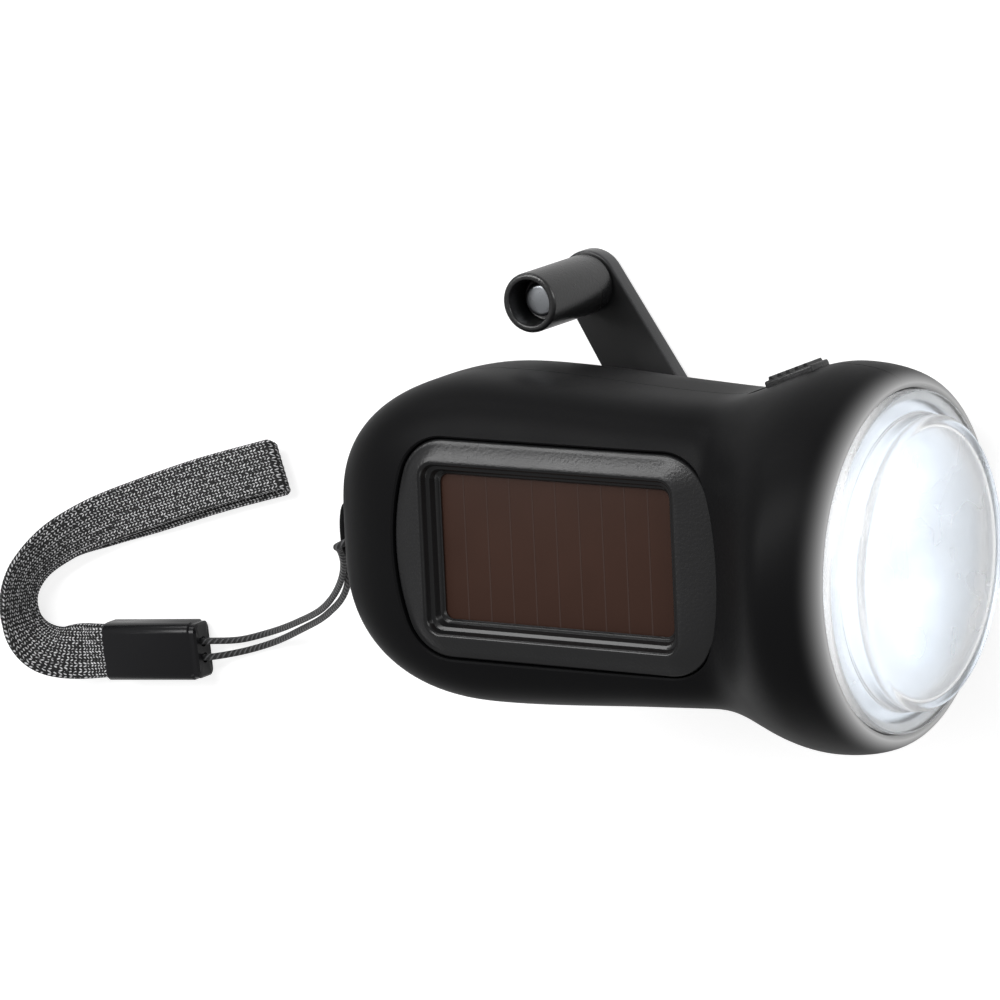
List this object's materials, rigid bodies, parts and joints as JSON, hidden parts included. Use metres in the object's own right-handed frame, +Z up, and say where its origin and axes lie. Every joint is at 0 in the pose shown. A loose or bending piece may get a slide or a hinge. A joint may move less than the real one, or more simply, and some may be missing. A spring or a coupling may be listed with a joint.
{
  "type": "hand crank flashlight",
  "caption": "Hand cranked flashlight with a solar panel, a fold out crank arm with a turning knob, a round stepped lens, a slide switch and a wrist strap.",
  "frame": {"origin": "on the floor under the middle of the torch's own box, strap left out, with the torch lying on its back", "axes": "+X towards the lens along the torch's axis, +Y to the side that the crank arm is swung to, +Z up out of the solar panel"},
  "size_m": [0.1892, 0.077, 0.06],
  "materials": {
    "shell": "satin moulded ABS",
    "bezel": "satin moulded ABS",
    "cell": "glossy encapsulated solar cell",
    "lens": "clear polished acrylic",
    "mirror": "vacuum metallised plastic",
    "seal": "matt rubber",
    "lamp": "clear epoxy",
    "board": "solder masked laminate",
    "nylon": "natural nylon",
    "steel": "bright steel",
    "battery": "nickel plated can",
    "can": "zinc plated can",
    "magnet": "sintered ferrite",
    "knob": "glossy moulded ABS",
    "webbing": "woven nylon webbing",
    "string": "braided nylon cord"
  },
  "bodies": {
    "housing": {"housing_front": "shell", "housing_rear": "shell", "panel_bezel": "bezel", "solar_cell": "cell", "lens": "lens", "lens_seal": "seal", "reflector": "mirror", "lamp_board": "board", "lamp_1": "lamp", "lamp_2": "lamp", "lamp_3": "lamp", "hub_bush": "nylon", "idler_axle_1": "steel", "idler_axle_2": "steel", "gear_plate": "nylon", "generator_stator": "can", "battery_cell_1": "battery", "battery_cell_2": "battery", "battery_cell_3": "battery", "battery_tray": "shell", "main_board": "board", "switch_body": "bezel", "housing_screw_1": "steel", "housing_screw_2": "steel", "housing_screw_3": "steel", "housing_screw_4": "steel", "lanyard_lug": "shell", "strap_string": "string", "strap_webbing": "webbing", "strap_ferrule": "knob"},
    "crank": {"crank_hub": "shell", "arm_pin": "steel", "crank_gear": "nylon"},
    "arm": {"crank_arm": "shell", "knob_pin": "steel"},
    "knob": {"crank_knob": "knob"},
    "idler_1": {"idler_gear_1": "nylon"},
    "idler_2": {"idler_gear_2": "nylon"},
    "rotor": {"rotor_pinion": "nylon", "generator_rotor": "magnet", "rotor_axle": "steel"},
    "switch": {"switch_slider": "bezel"}
  },
  "joints": [
    {"name": "crank_spin", "type": "hinge", "parent": "housing", "child": "crank", "pos_m": [-0.0008, -0.00483, 0.004], "axis": [0, 0, 1], "range_deg": [-66, 6]},
    {"name": "arm_fold", "type": "hinge", "parent": "crank", "child": "arm", "pos_m": [-0.0008, -0.00483, 0.00165], "axis": [-0.8499, -0.527, 0], "range_deg": [0, 180]},
    {"name": "knob_turn", "type": "hinge", "parent": "arm", "child": "knob", "pos_m": [-0.02216, 0.02962, 0.015], "axis": [0, 0, 1], "continuous": true},
    {"name": "idler_1_spin", "type": "hinge", "parent": "housing", "child": "idler_1", "pos_m": [-0.01275, -0.01172, 0.012], "axis": [0, 0, 1], "range_deg": [-21.6, 237.6]},
    {"name": "idler_2_spin", "type": "hinge", "parent": "housing", "child": "idler_2", "pos_m": [-0.01665, -0.00101, 0.014], "axis": [0, 0, 1], "range_deg": [-665.28, 60.48]},
    {"name": "rotor_spin", "type": "hinge", "parent": "housing", "child": "rotor", "pos_m": [-0.00678, 0.00469, 0.02], "axis": [0, 0, 1], "range_deg": [-169.35, 1862.79]},
    {"name": "switch_slide", "type": "slide", "parent": "housing", "child": "switch", "axis": [-0.9326, -0.3609, 0], "range_m": [0, 0.003]}
  ],
  "couplings": [
    {"joint": "idler_1_spin", "follows": "crank_spin", "ratio": -3.6},
    {"joint": "idler_2_spin", "follows": "crank_spin", "ratio": 10.08},
    {"joint": "rotor_spin", "follows": "crank_spin", "ratio": -28.224}
  ]
}
